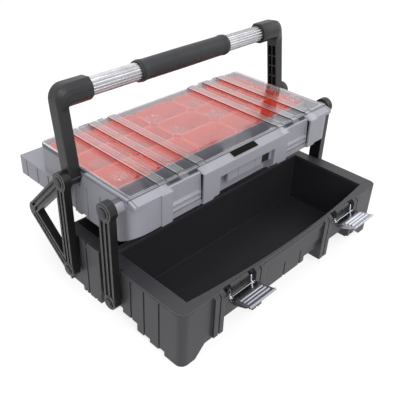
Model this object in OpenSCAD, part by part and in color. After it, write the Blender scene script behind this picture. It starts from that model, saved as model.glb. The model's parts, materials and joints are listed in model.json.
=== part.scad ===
// Cantilever tool box: a deep tub below, a bin organizer carried above it on
// two pairs of swinging links, a clear lid, a folding carry handle and two
// front draw latches. Rest pose is the open one. Units are mm, +Z is up,
// -Y is the front, X = 0 is the middle plane.

/* [Tub] */
// Outer width of the tub
tub_w = 544; // [500:1:580]
// Outer depth of the tub
tub_d = 300; // [280:1:320]
// Height of the tub to its rim
tub_h = 110; // [96:1:124]
// Width of each hollow side wall of the tub
side_w = 28; // [24:1:40]
// How far the inner front edge bows outward in the middle
bay_bow = 15; // [0:1:18]
// Distance of the cross wall from the front face
cross_y = 182; // [160:1:200]
// Thickness of the cross wall
cross_t = 12; // [6:1:16]
// Thickness of the tub floor
floor_t = 4; // [3:0.5:6]
// Height of the middle front edge above the ground
front_gap = 42; // [20:1:50]
// Distance of each latch from the middle plane
latch_x = 147; // [140:1:152]
// Clear width of each latch bay
latch_bay_w = 74; // [70:1:78]

/* [Linkage] */
// Pivot to pivot length of the links
link_l = 179; // [170:0.5:190]
// Distance of the lower front pivots from the front face
pivot_y = 153.5; // [146:0.5:160]
// Distance between front and rear pivots
pivot_gap = 114; // [104:0.5:120]
// Height of the lower pivots above the ground
pivot_z = 45; // [36:0.5:52]
// Backward lean of the open links in degrees
link_lean = 0.3; // [0.2:0.1:4]
// Thickness of the links
link_t = 14.6; // [12:0.2:16]
// Width of the link bars
link_bar_w = 25; // [20:1:28]
// Pivot pin radius
pin_r = 5; // [4:0.5:6]
// Radial running clearance of the pivots
pivot_fit = 0.08; // [0.02:0.01:0.1]
// Radial clearance of the upper rear pivots
loose_fit = 0.5; // [0.3:0.1:0.8]

/* [Organizer] */
// Distance of the organizer's sides inside the tub's sides
org_inset = 16; // [12:0.5:22]
// Outer depth of the organizer with its rear ledge
org_d = 325; // [300:1:335]
// Height of the organizer underside in the open pose
org_z = 151; // [149:0.5:156]
// Height of the organizer from underside to rim
org_h = 89; // [80:0.5:96]
// Height of the rear ledge above the underside
ledge_h = 37; // [30:1:46]
// Depth of the rear ledge
ledge_d = 69; // [56:1:76]
// Wall thickness of the organizer
org_t = 3.5; // [2.5:0.1:4]
// Radius of the organizer's front corners
org_r = 26; // [16:1:32]
// Width of the badge plate
badge_w = 74; // [56:1:90]
// Width of each catch recess
catch_w = 70; // [60:1:74]
// Bins in one row
bin_cols = 5; // [4:1:6]
// Bin rows
bin_rows = 3; // [2:1:3]
// Height of the bins
bin_h = 78; // [60:1:80]

/* [Lid] */
// Lid sheet thickness
lid_t = 3; // [2.5:0.1:4]
// Height of the raised lid ribs
rib_h = 3.5; // [2:0.5:5]
// Width of the raised lid ribs
rib_w = 17; // [10:1:20]

/* [Handle] */
// Pivot to tube axis length of the handle arms
arm_l = 134; // [128:1:140]
// Backward lean of the handle at rest in degrees
handle_lean = 7.7; // [4:0.1:12]
// Depth of the handle arms
arm_d = 24; // [18:1:26]
// Radius of the handle tube
tube_r = 15.5; // [13:0.5:17]
// Radius of the rubber grip
grip_r = 18.5; // [17:0.5:20]
// Length of the rubber grip
grip_l = 208; // [180:1:230]

/* [Latches] */
// Width of the latch lever
lever_w = 62; // [58:1:64]
// Length of the latch lever
lever_l = 42; // [36:1:46]
// Radius of the bail wire
wire_r = 1.5; // [1.2:0.1:2]

/* [Hidden] */
$fn = 32;
e = 0.01;
gap = 0.4;
seat = 0.05;
front = -tub_d / 2;
tub_x = tub_w / 2;
bay_x = tub_x - side_w;
bay_w = 2 * bay_x;
skin = 4;
cross_a = front + cross_y;
cross_b = cross_a + cross_t;
side_cell = (tub_d - 25) / 6;
low_f = front + pivot_y;
low_r = low_f + pivot_gap;
// Start and end of the link pockets, and place of the groove between them.
pocket_at = [[pivot_y - 13.5, pivot_y + 44],
  [pivot_y + pivot_gap - 17.5, pivot_y + pivot_gap + 20.5]];
pocket_t = 5.5;
groove_y = pivot_y + 79.5;
top_f = low_f + link_l * sin(link_lean);
top_r = top_f + pivot_gap;
top_z = pivot_z + link_l * cos(link_lean);
link_a = tub_x + 1.3;
link_b = link_a + link_t;
org_x = tub_x - org_inset;
core_x = org_x - 5.5;
cheek_b = top_r - 19;
cheek_r = 11;
org_f = front + 120;
org_b = org_f + org_d;
rim_z = org_z + org_h;
ledge_z = org_z + ledge_h;
ledge_f = org_b - ledge_d;
ledge_cell = (2 * org_x - 7) / 10;
well_f = org_f + 22;
well_b = ledge_f - org_t;
well_x = core_x - org_t;
well_z = org_z + org_t;
bead_z = rim_z - 6;
catch_x = latch_x;
lid_x = core_x - 0.7;
lid_f = org_f + 18;
lid_b = ledge_f - 2;
lid_z = rim_z + 0.6;
lid_top = lid_z + lid_t;
hinge_y = ledge_f + 4.5;
hinge_z = rim_z - 4;
hinge_at = [-176, -134, 134, 176];
// Lid ribs: place, and how far their tongue stays behind the front face.
rib_at = [[catch_x - 44, -3.6], [catch_x, 5], [catch_x + 43, -6]];
rib_in = catch_x - catch_w / 2 - 39;
band_z = org_z + 63;
panel_z = org_z + 39;
notch_at = [rib_in - 27, rib_in - 5];
chan_b = org_f + 62;
bin_px = (2 * well_x - 1) / bin_cols;
bin_py = (well_b - chan_b - 1) / bin_rows;
arm_a = core_x + 1.3;
arm_b = tub_x + 0.5;
sleeve_x = 204;
sleeve_r = tube_r + 4.5;
latch_back = front + 4.2;
pillar_a = latch_x - latch_bay_w / 2;
pillar_b = latch_x + latch_bay_w / 2;
pillar_c = pillar_b + 22;
pillar_i = pillar_a - 24;
proud = 5;
bail_z = tub_h - 6;
bail_y = front - 2.6;
lever_z = bail_z - 14;
lever_y = bail_y - 8;
lever_tilt = 13;
leg_x = lever_w / 2 - 5;
ear_x = leg_x + wire_r + 0.4;
c_black = [0.17, 0.17, 0.18];
c_grey = [0.62, 0.64, 0.67];
c_red = [0.85, 0.25, 0.15];
c_steel = [0.75, 0.76, 0.78];
c_clear = [0.85, 0.9, 0.95, 0.35];

// Box given by its low and high corners.
module span(a, b) translate(a) cube(b - a);

// The same shape on both sides of the middle plane.
module both() {
  children();
  mirror([1, 0, 0]) children();
}

// Cylinder along X from x0 to x1 around (y, z).
module rod_x(r, x0, x1, y, z)
  translate([x0, y, z]) rotate([0, 90, 0]) cylinder(r = r, h = x1 - x0);

// Plan outline with front corner radius rf and rear corner radius rb.
module plan(x, y0, y1, rf, rb) {
  polygon([[-x, y0 + rf], [-x + rf, y0], [x - rf, y0], [x, y0 + rf],
    [x, y1 - rb], [x - rb, y1], [-x + rb, y1], [-x, y1 - rb]]);
  for (s = [-1, 1]) {
    translate([s * (x - rf), y0 + rf]) circle(rf);
    translate([s * (x - rb), y1 - rb]) circle(rb);
  }
}

// Profile drawn in (y, z), pushed along X from x0 to x1.
module side_cut(x0, x1, pts)
  translate([x0, 0, 0]) rotate([90, 0, 90]) linear_extrude(x1 - x0) polygon(pts);

// Straight bar of width w between two points of a drawing plane.
module bar(p, q, w) {
  v = q - p;
  translate(p) rotate(atan2(v[1], v[0])) translate([0, -w / 2]) square([norm(v), w]);
}

// ---- tub ----
// Front compartment seen from above; its front edge bows outward.
module bay_plan() {
  n = 12;
  arc = [for (i = [0:n]) let (x = -bay_x + i * bay_w / n)
    [x, front + 5 + bay_bow * pow(x / bay_x, 2)]];
  polygon(concat([[-bay_x, cross_a]], arc, [[bay_x, cross_a]]));
}

// Front compartment with a floor that rises towards the front wall.
module front_bay() intersection() {
  translate([0, 0, floor_t]) linear_extrude(tub_h) bay_plan();
  side_cut(-tub_x, tub_x, [[front, front_gap + 8], [front + 11, front_gap + 8],
    [front + 62, floor_t], [cross_a, floor_t], [cross_a, tub_h + 1],
    [front, tub_h + 1]]);
}

// Vertical grooves in the side walls.
module side_grooves()
  for (y = [51, 86, 118, groove_y])
    span([-tub_x - 1, front + y - 2, -1], [-tub_x + 2.2, front + y + 2, tub_h - 6]);

// Pockets of the side walls beside the links, widened by w.
module link_pockets(w)
  for (y = pocket_at)
    span([-tub_x - 1, front + y[0] - w, -1], [-tub_x + pocket_t + w, front + y[1] + w, tub_h + 1]);

// Start, end and height of the steps along the lower side edges.
foot_steps = [[39, 52, 9], [52, 73, 4], [73, 88, 11], [88, 104, 7], [104, 200, 23],
  [212, 216, 6], [240, 244, 6]];

// Cut between the front corner foot and the outer latch pillar.
module side_foot() intersection() {
  translate([0, front + 60, 0]) rotate([90, 0, 0]) linear_extrude(70)
    polygon([[-pillar_c - 36, -1], [-pillar_c - 36, 0], [-pillar_c - 15, 21],
      [-pillar_b + 1, 21], [-pillar_b + 1, -1]]);
  side_cut(-tub_x, 0, [[front - 10, -2], [front - 10, front_gap], [front + 8, front_gap],
    [front + 58, 0], [front + 58, -2]]);
}

// Fine groove just under the rim, round the sides and the front corners.
module lip_line() difference() {
  translate([-tub_x - 1, front - 1, tub_h - 4.5]) cube([30, tub_d + 2, 1.6]);
  translate([0, 0, tub_h - 5]) linear_extrude(3)
    plan(tub_x - 1.3, front + 1.3, -front - 1.3, 13, 11);
}

module tub_body() difference() {
  linear_extrude(tub_h) plan(tub_x, front, -front, 14, 12);
  front_bay();
  // rear compartment
  span([-bay_x, cross_b, floor_t], [bay_x, -front - 4, tub_h + 1]);
  both() {
    side_grooves();
    // hollow side walls, open below, with cross ribs
    difference() {
      for (i = [0:5])
        span([-tub_x + skin, front + 14 + i * side_cell, -1],
          [-bay_x - skin + 1, front + 11 + (i + 1) * side_cell, tub_h - skin]);
      link_pockets(skin);
    }
    link_pockets(0);
    // stepped lower edge between the side feet
    for (c = foot_steps)
      span([-tub_x - 1, front + c[0], -1], [-bay_x - skin + e, front + c[1], c[2]]);
    // lower edge between corner foot and latch pillar
    side_foot();
    // shadow line under the rim
    lip_line();
    // latch bay
    span([-pillar_b, front - 1, -1], [-pillar_a, latch_back, tub_h + 1]);
  }
  // space under the sloping front, between the outer pillars
  difference() {
    side_cut(-pillar_b, pillar_b, [[front - 1, -1], [front - 1, front_gap],
      [front + 8, front_gap], [front + 58, 0], [front + 58, -1]]);
    both() span([-pillar_a, front - 2, 20], [-pillar_i, front + 60, front_gap + 1]);
  }
  // front panel grooves
  for (x = [-23, 23])
    span([x - 2, front - 1, -1], [x + 2, front + 1.6, 74]);
  // higher lower edge and recess beside the right latch
  span([37, front - 1, -1], [pillar_i, front + 9, front_gap + 6]);
  span([37, front - 1, -1], [pillar_i, front + 3, 70]);
}

module tub() color(c_black) difference() {
  union() {
    tub_body();
    both() {
      // raised edge of the side panels between the links
      for (y = [[pocket_at[0][1], groove_y - 2], [groove_y + 2, pocket_at[1][0]]])
        span([-tub_x, front + y[0], tub_h - 8], [-tub_x + skin, front + y[1], tub_h + 6]);
      // pivot pillars through the hollow sides
      for (y = [low_f, low_r])
        rod_x(11, -tub_x + skin - e, -bay_x - skin + e, y, pivot_z);
      // pillars flanking the latch bays
      for (x = [[pillar_b, pillar_b + 9, 24], [pillar_b + 12, pillar_c, 24],
        [pillar_i, pillar_i + 11, 20], [pillar_i + 14, pillar_a, 20]])
        side_cut(-x[1], -x[0], [[front - proud, x[2]], [front + 2, x[2]], [front + 2, tub_h],
          [front, tub_h], [front - proud, tub_h - 5]]);
      span([-pillar_c + e, front - 2, 25], [-pillar_b - e, front + 2, tub_h - 4]);
      span([-pillar_a + e, front - 2, 21], [-pillar_i - e, front + 2, tub_h - 4]);
    }
  }
  both() {
    for (y = [low_f, low_r])
      rod_x(pin_r + seat, -tub_x - 1, -bay_x - skin + 1, y, pivot_z);
    // screw holes behind the latch plates
    for (s = [-11, 11]) translate([-latch_x + s, latch_back + 2.2, bail_z - 9])
      rotate([90, 0, 0]) cylinder(r = 1.6, h = 4);
  }
}

// ---- pins of the linkage ----
// Pin with a round head outside the link.
module pivot_pin(x_in, y, z) {
  rod_x(pin_r, -link_b - gap, -x_in, y, z);
  rod_x(pin_r + 4, -link_b - gap - 2.6, -link_b - gap, y, z);
  rod_x(pin_r + 1.5, -link_b - gap - 3.4, -link_b - gap - 2.6 + e, y, z);
}

module lower_pins() color(c_black) both() {
  pivot_pin(bay_x + skin + 1, low_f, pivot_z);
  pivot_pin(bay_x + skin + 1, low_r, pivot_z);
}

module upper_front_pins() color(c_black) both() pivot_pin(org_x - 8, top_f, top_z);

module upper_rear_pins() color(c_black) both() pivot_pin(core_x - 2, top_r, top_z);

// ---- links, drawn upright from the lower pivot and leaned back ----
module on_pivot(y) translate([0, y, pivot_z]) rotate([-link_lean, 0, 0]) children();

// Plate of a link from its outline in the (y, z) plane.
module link_plate(x0, x1) translate([-x1, 0, 0]) rotate([90, 0, 90])
  linear_extrude(x1 - x0) children();

module link_front_left() color(c_black) on_pivot(low_f) difference() {
  union() {
    link_plate(link_a, link_b - 3.2) {
      bar([0, 0], [0, link_l], link_bar_w);
      circle(link_bar_w / 2 + 1);
      translate([0, link_l]) circle(16.5);
    }
    // outer ribs
    link_plate(link_b - 3.2 - e, link_b) {
      for (s = [-1, 0, 1])
        translate([s * (link_bar_w / 2 - 1.9) - 1.9, 10]) square([3.8, link_l - 20]);
      circle(link_bar_w / 2 + 1);
      translate([0, link_l]) circle(16.5);
    }
  }
  for (z = [0, link_l])
    rod_x(pin_r + pivot_fit, -link_b - 1, -link_a + 1, 0, z);
  // ring groove round each pivot
  for (z = [0, link_l]) difference() {
    rod_x(11.5, -link_b - 1, -link_b + 1.2, 0, z);
    rod_x(pin_r + 2.5, -link_b - 2, -link_b + 2, 0, z);
  }
}

module link_front_right() color(c_black) mirror([1, 0, 0]) link_front_left();

elbow = [99, 79];
head = [0, link_l];

module rear_outline(w) {
  bar([0, 0], head, w);
  bar(head, elbow, w);
  bar(elbow, [0, 0], w);
}

module link_rear_left() color(c_black) on_pivot(low_r) difference() {
  union() {
    link_plate(link_a, link_b - 3.2) {
      rear_outline(22);
      circle(14);
      translate(head) circle(16.5);
      translate(elbow) circle(13);
    }
    link_plate(link_b - 3.2 - e, link_b) {
      difference() {
        rear_outline(22);
        rear_outline(14.4);
      }
      rear_outline(3.2);
      circle(14);
      translate(head) circle(16.5);
      translate(elbow) circle(9);
    }
  }
  rod_x(pin_r + pivot_fit, -link_b - 1, -link_a + 1, 0, 0);
  rod_x(pin_r + loose_fit, -link_b - 1, -link_a + 1, 0, link_l);
  for (z = [0, link_l]) difference() {
    rod_x(11.5, -link_b - 1, -link_b + 1.2, 0, z);
    rod_x(pin_r + 2.5, -link_b - 2, -link_b + 2, 0, z);
  }
}

module link_rear_right() color(c_black) mirror([1, 0, 0]) link_rear_left();

// ---- organizer ----
// Solid form of the organizer before it is hollowed.
module org_form() {
  // lower tray with its rear ledge
  translate([0, 0, org_z]) linear_extrude(ledge_h) plan(org_x, org_f, org_b, org_r, 2);
  // front cheeks
  translate([0, 0, ledge_z - e]) linear_extrude(bead_z - 6 - ledge_z + e)
    plan(org_x, org_f, cheek_b, org_r, 2);
  // sharp top band over the rounded front corners
  translate([0, 0, bead_z - 6 - e]) linear_extrude(12 + e)
    plan(org_x, org_f, cheek_b, 3, 2);
  // core under the lid
  translate([0, 0, ledge_z - e]) linear_extrude(rim_z - ledge_z + e)
    plan(core_x, org_f + 20, ledge_f, 1, 8);
  // band across the middle of the front
  span([-rib_in - e, org_f - 3, band_z], [rib_in + e, org_f + 2, bead_z]);
  both() {
    // lower rear part of the cheeks, under the folding arms
    side_cut(core_x - 1, org_x, [[top_r - 22, ledge_z - e], [top_r - 22, bead_z - 6],
      [top_r - 17.5, bead_z - 6], [top_r - 11, org_z + 56.3], [top_r + 26, org_z + 55.5],
      [top_r + 29, org_z + 50], [top_r + 29, ledge_z - e]]);
    // ribs beside the catch recesses
    for (x = [[rib_in, rib_in + 14, 30], [rib_in + 14 - e, catch_x - catch_w / 2, 22],
        [catch_x + catch_w / 2, catch_x + catch_w / 2 + 22, 22]])
      span([x[0], org_f - 3, org_z + x[2]], [x[1], org_f + 2, bead_z]);
  }
}

module organizer_cuts() {
  // main well
  span([-well_x, well_f, well_z], [well_x, well_b, rim_z + 1]);
  // sloping front edge under the lid
  side_cut(-org_x - 1, org_x + 1, [[org_f - 9, bead_z], [org_f, bead_z],
    [lid_f - 1, rim_z], [lid_f - 1, rim_z + 1], [org_f - 9, rim_z + 1]]);
  // rising underside at the front
  side_cut(-org_x - 1, org_x + 1, [[org_f - 9, org_z - 1], [org_f - 9, org_z + 26],
    [org_f, org_z + 26], [org_f + 40, org_z], [org_f + 40, org_z - 1]]);
  // ribbed space under the rear ledge
  for (i = [0:9])
    span([-org_x + 5 + i * ledge_cell, ledge_f + 4, org_z - 1],
      [-org_x + 2 + (i + 1) * ledge_cell, org_b - 4, ledge_z - 3.5]);
  both() {
    // catch recess
    span([catch_x - catch_w / 2, org_f - 9, org_z + 34],
      [catch_x + catch_w / 2, org_f + 15, rim_z + 1]);
    span([catch_x - catch_w / 2, org_f - 9, org_z], [catch_x + catch_w / 2, org_f + 3, rim_z]);
    // hollows behind the front face
    span([catch_x + catch_w / 2 + 4, org_f + 4, org_z - 1], [org_x - 14, well_f - 3, bead_z - 6]);
    // round rear corners of the cheeks
    difference() {
      span([-org_x - 1, cheek_b - cheek_r, bead_z + 6 - cheek_r], [-core_x, cheek_b + 1, bead_z + 7]);
      rod_x(cheek_r, -org_x - 2, -core_x + 1, cheek_b - cheek_r, bead_z + 6 - cheek_r);
    }
    // grooves of the side panels
    for (y = [205, 240, 273, 355, 389, 424])
      span([-org_x - 1, front + y - 1.6, org_z - 1],
        [-org_x + 1.8, front + y + 1.6, y < 300 ? org_z + 62 : ledge_z - 3]);
    // steps in the lower side edges
    for (y = [[top_r - 22, top_r - 8], [top_r + 9, top_r + 28]])
      span([-org_x - 1, y[0], org_z - 1], [-org_x + 5, y[1], org_z + 5]);
    // hinge seats
    for (x = hinge_at)
      span([x - 10.5, ledge_f - 1.2, hinge_z - 6], [x + 10.5, ledge_f + 1, rim_z + 1]);
    rod_x(pin_r + seat, -link_a - 1, -org_x + 8, top_f, top_z);
    rod_x(pin_r + seat, -core_x - 2, -core_x + 2.1, top_r, top_z);
  }
  for (s = [-1, 0, 1])
    span([s * 45 - 21, org_f + 7.5, org_z - 1], [s * 45 + 21, well_f - 3, bead_z - 6]);
  // sunk middle of the front face
  span([-rib_in, org_f - 4, org_z], [rib_in, org_f + 4, band_z]);
  span([-rib_in, org_f - 4, org_z - 1], [rib_in, well_f - 3, panel_z]);
  for (x = [-19, 28])
    span([x - 0.8, org_f, panel_z - 1], [x + 0.8, org_f + 5, band_z - 7]);
  both() span([notch_at[0], org_f, panel_z - 1], [notch_at[1], well_f - 5, band_z - 3]);
}

module organizer() color(c_grey) {
  difference() {
    org_form();
    organizer_cuts();
  }
  difference() {
    union() {
      // hinge knuckles
      for (x = hinge_at) for (s = [-1, 1])
        rod_x(4, x + (s < 0 ? -20 : 10.5), x + (s < 0 ? -10.5 : 20), hinge_y, hinge_z);
      for (x = hinge_at) for (s = [-1, 1])
        span([x + (s < 0 ? -20 : 10.5), ledge_f - e, hinge_z - 4],
          [x + (s < 0 ? -10.5 : 20), hinge_y, hinge_z + 2.5]);
      // wall between the bins and the front channel
      span([-well_x - e, chan_b - 3, well_z - e], [well_x + e, chan_b, rim_z - 26]);
      for (x = [-96, 96])
        span([x - 1.5, well_f - e, well_z - e], [x + 1.5, chan_b - 3 + e, rim_z - 36]);
    }
    rod_x(1.8 + seat, -210, 210, hinge_y, hinge_z);
  }
}

// Bosses that carry the front links clear of the sides.
module pivot_bosses() color(c_grey) both() difference() {
  rod_x(12, -link_a + 0.5, -org_x - seat, top_f, top_z);
  rod_x(pin_r + seat, -link_a - 1, -org_x + 1, top_f, top_z);
}

module badge_plate() color(c_black) {
  a = atan2(rim_z - bead_z, lid_f - 1 - org_f);
  translate([-4, org_f, bead_z]) rotate([a, 0, 0])
    linear_extrude(1.2) translate([-badge_w / 2, 0.4]) square([badge_w, lid_f - org_f - 1.2]);
}

// One open bin standing on the organizer floor.
module bin_at(i, j) {
  x0 = -well_x + 0.5 + i * bin_px + 0.3;
  y0 = chan_b + 0.5 + j * bin_py + 0.3;
  x1 = x0 + bin_px - 0.6;
  y1 = y0 + bin_py - 0.6;
  difference() {
    union() {
      span([x0 + 1.2, y0 + 1.2, well_z], [x1 - 1.2, y1 - 1.2, well_z + bin_h - 1]);
      span([x0, y0, well_z + bin_h - 5], [x1, y1, well_z + bin_h]);
    }
    span([x0 + 3, y0 + 3, well_z + 1.8], [x1 - 3, y1 - 3, well_z + bin_h + 1]);
  }
}

module bin_row(j) color(c_red) for (i = [0:bin_cols - 1]) bin_at(i, j);
module bins_front() bin_row(0);
module bins_middle() bin_row(1);
module bins_rear() bin_row(2);

// ---- lid ----
module lid() color(c_clear) difference() {
  union() {
    translate([0, 0, lid_z]) linear_extrude(lid_t) plan(lid_x, lid_f, lid_b, 2, 8);
    both() for (r = rib_at) {
      a = r[0] - rib_w / 2;
      b = r[0] + rib_w / 2;
      low = bead_z + 0.8 + max(r[1], 0) * (lid_z - bead_z) / (lid_f - org_f);
      span([a, lid_f, lid_top - e], [b, lid_b - 6, lid_top + rib_h]);
      // rib tongue down the sloping front edge
      side_cut(a, b, [[lid_f + e, lid_z + 0.4], [lid_f - 1, lid_z + 0.4],
        [org_f - 1 + max(r[1] + 1, 0), low], [org_f + r[1] - e, low], [org_f + r[1] - e, low + 2.4],
        [lid_f - 4, lid_top + rib_h], [lid_f + e, lid_top + rib_h]]);
    }
    // hinge knuckles
    for (x = hinge_at) {
      rod_x(4, x - 10, x + 10, hinge_y, hinge_z);
      side_cut(x - 10, x + 10, [[lid_b - 8, lid_z + 0.1], [lid_b + 1.4, lid_z + 0.1],
        [hinge_y - 3.9, hinge_z + 0.4], [hinge_y, hinge_z + 3.9], [lid_b, lid_top], [lid_b - 8, lid_top]]);
    }
  }
  rod_x(1.8 + 0.06, -210, 210, hinge_y, hinge_z);
}

// Catch plates hanging in the two front recesses, held by the rib tongues.
module lid_catches() color(c_grey) both() {
  x0 = catch_x - catch_w / 2 + 1;
  x1 = catch_x + catch_w / 2 - 1;
  y = org_f + 9;
  side_cut(x0, x1, [[y - 3, org_z + 36], [y, org_z + 36], [y, bead_z + 2.4], [y - 3, bead_z + 1.4]]);
  for (z = [org_z + 37, org_z + 47])
    side_cut(x0, x1, [[y - 2.9, z], [y - 7, z], [y - 7, z + 3], [y - 2.9, z + 6]]);
  for (x = [x0, x1 - 3])
    side_cut(x, x + 3, [[y - 7, org_z + 38], [y - 1, org_z + 38], [y - 1, bead_z], [y - 4, bead_z]]);
}

module lid_hinge_pins() color(c_steel)
  for (x = hinge_at) rod_x(1.8, x - 20, x + 20, hinge_y, hinge_z);

// ---- handle, drawn upright over its pivot and leaned back ----
module on_handle() translate([0, top_r, top_z]) rotate([-handle_lean, 0, 0]) children();

module handle_arm_left() color(c_black) on_handle() difference() {
  union() {
    // hub and arm
    link_plate(arm_a, arm_b) {
      circle(15);
      translate([-arm_d / 2, 0]) square([arm_d, arm_l - 22]);
    }
    // round elbow that widens from the arm to the sleeve
    intersection() {
      side_cut(-arm_b, -arm_a, [[-arm_d / 2, arm_l - 40], [arm_d / 2, arm_l - 40],
        [sleeve_r, arm_l - 6], [sleeve_r, arm_l], [-sleeve_r, arm_l], [-sleeve_r, arm_l - 6]]);
      translate([-arm_b + sleeve_r, 0, 0]) cylinder(r = sleeve_r, h = arm_l);
    }
    translate([-arm_b + sleeve_r, 0, arm_l]) sphere(sleeve_r);
    rod_x(sleeve_r, -arm_b + sleeve_r, -sleeve_x, 0, arm_l);
  }
  rod_x(pin_r + pivot_fit, -arm_b - 1, -arm_a + 1, 0, 0);
  rod_x(tube_r + seat, -arm_a - 6, -sleeve_x + 1, 0, arm_l);
  // side flute
  span([-arm_b - 1, -arm_d / 2 + 4, 20], [-arm_b + 1.6, arm_d / 2 - 4, arm_l - 44]);
  // ribbed hollow in the front of the arm
  for (i = [0:3]) let (h = (arm_l - 66) / 4)
    span([-arm_b + 6.5, -arm_d / 2 - 1, 20 + i * h], [-arm_a - 2.5, -arm_d / 2 + 6, 18 + (i + 1) * h]);
}

module handle_arm_right() color(c_black) mirror([1, 0, 0]) handle_arm_left();

module handle_tube() color(c_steel) on_handle() difference() {
  rod_x(tube_r, -arm_a - 6, arm_a + 6, 0, arm_l);
  rod_x(tube_r - 1.6, -arm_a - 7, arm_a + 7, 0, arm_l);
  for (i = [0:11]) rotate([0, 0, 0]) translate([0, 0, arm_l]) rotate([i * 30, 0, 0])
    both() span([-sleeve_x + 2, -0.8, tube_r - 0.7], [-grip_l / 2 - 4, 0.8, tube_r + 1]);
}

module handle_grip() color(c_black) on_handle() difference() {
  union() {
    rod_x(grip_r, -grip_l / 2, grip_l / 2, 0, arm_l);
    both() rod_x(grip_r + 1, -grip_l / 2 - e, -grip_l / 2 + 5, 0, arm_l);
  }
  rod_x(tube_r + seat, -grip_l, grip_l, 0, arm_l);
  both() for (i = [0:4]) difference() {
    rod_x(grip_r + 2, -grip_l / 2 + 12 + i * 6, -grip_l / 2 + 14 + i * 6, 0, arm_l);
    rod_x(grip_r - 0.8, -grip_l / 2 + 11 + i * 6, -grip_l / 2 + 15 + i * 6, 0, arm_l);
  }
}

module handle_rings() color(c_steel) on_handle() both() difference() {
  rod_x(tube_r + 3, -grip_l / 2 - 3, -grip_l / 2 - 0.1, 0, arm_l);
  rod_x(tube_r + seat, -grip_l / 2 - 4, -grip_l / 2 + 1, 0, arm_l);
}

// ---- latches ----
// Plate screwed to the back of the bay, with two ears for the bail.
module latch_plate_left() color(c_steel) difference() {
  t = 1.2;
  translate([-latch_x, 0, 0]) {
    span([-ear_x - t, latch_back - t, bail_z - 18], [ear_x + t, latch_back, bail_z + 4]);
    for (x = [-ear_x - t, ear_x])
      span([x, bail_y - 3.2, bail_z - 3.6], [x + t, latch_back - t + e, bail_z + 3.2]);
  }
  rod_x(wire_r + 0.06, -latch_x - 40, -latch_x + 40, bail_y, bail_z);
  for (s = [-11, 11]) translate([-latch_x + s, latch_back + 1, bail_z - 9])
    rotate([90, 0, 0]) cylinder(r = 1.6, h = 4);
}

module latch_plate_right() color(c_steel) mirror([1, 0, 0]) latch_plate_left();

module plate_screws() color(c_steel) both() for (s = [-11, 11])
  translate([-latch_x + s, latch_back - 1.2, bail_z - 9]) rotate([90, 0, 0]) {
    translate([0, 0, -3]) cylinder(r = 1.6, h = 3 + e);
    cylinder(r1 = 3.6, r2 = 2.8, h = 1.5);
  }

// Straight wire between two (y, z) points at the given x.
module wire(x, p, q) {
  v = q - p;
  translate([x, p[0], p[1]]) rotate([-atan2(v[0], v[1]), 0, 0]) cylinder(r = wire_r, h = norm(v));
}

// Bent wire loop hinged in the ears; its lower bar carries the lever.
module bail_left() color(c_steel) {
  a = [bail_y, bail_z];
  b = [bail_y - 0.8, lever_z + 3.4];
  c = [lever_y, lever_z];
  for (s = [-1, 1]) {
    x = -latch_x + s * leg_x;
    wire(x, a, b);
    wire(x, b, c);
    for (p = [a, b, c]) translate([x, p[0], p[1]]) sphere(wire_r);
    rod_x(wire_r, min(x, x + s * 4.4), max(x, x + s * 4.4), bail_y, bail_z);
    rod_x(wire_r, min(x, x + s * 5), max(x, x + s * 5), lever_y, lever_z);
  }
  rod_x(wire_r, -latch_x - leg_x, -latch_x + leg_x, lever_y, lever_z);
}

module bail_right() color(c_steel) mirror([1, 0, 0]) bail_left();

// Pressed lever, drawn flat with its axis at the origin, then tilted.
module lever_left() color(c_steel)
  translate([-latch_x, lever_y, lever_z]) rotate([-lever_tilt, 0, 0]) difference() {
  w = lever_w / 2;
  t = 1.4;
  z = wire_r + 0.9;
  y0 = 3 - lever_l;
  union() {
    span([-w, y0, z], [w, 3, z + t]);
    for (y = [y0 + 9, y0 + 16, y0 + 23])
      side_cut(-w + 5, w - 5, [[y - 2.4, z + t - e], [y + 2.4, z + t - e], [y + 1, z + t + 1.6],
        [y - 1, z + t + 1.6]]);
    // rolled outer edge and folded inner edge
    rod_x(2.3, -w, w, y0, z + t - 0.6);
    rod_x(1.3, -w, w, 3, z + 0.8);
    // side cheeks round the axis
    for (x = [-w, w - t]) {
      side_cut(x, x + t, [[y0 + 2, z + e], [y0 + 8, z - 3.5], [-14, z - 6.5], [-5, z - 7],
        [2.6, z - 5.5], [3.4, z - 3], [3, z + e]]);
    }
  }
  rod_x(wire_r + 0.06, -w - 1, w + 1, 0, 0);
  for (s = [-1, 1])
    span([s * leg_x - 2.3, -1.5, z - 1], [s * leg_x + 2.3, 6, z + t + 2]);
}

module lever_right() color(c_steel) mirror([1, 0, 0]) lever_left();

tub();
lower_pins();
link_front_left();
link_front_right();
link_rear_left();
link_rear_right();
organizer();
upper_front_pins();
upper_rear_pins();
badge_plate();
bins_front();
bins_middle();
bins_rear();
lid();
lid_catches();
lid_hinge_pins();
handle_arm_left();
handle_arm_right();
handle_tube();
handle_grip();
handle_rings();
latch_plate_left();
latch_plate_right();
plate_screws();
bail_left();
bail_right();
lever_left();
lever_right();
pivot_bosses();
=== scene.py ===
"""Looks of the open cantilever tool box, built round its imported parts."""

import json
import logging
import math
from dataclasses import dataclass, field
from enum import Enum
from typing import Any, Mapping, Sequence

import bpy
import numpy as np
from mathutils import Matrix, Vector


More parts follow.
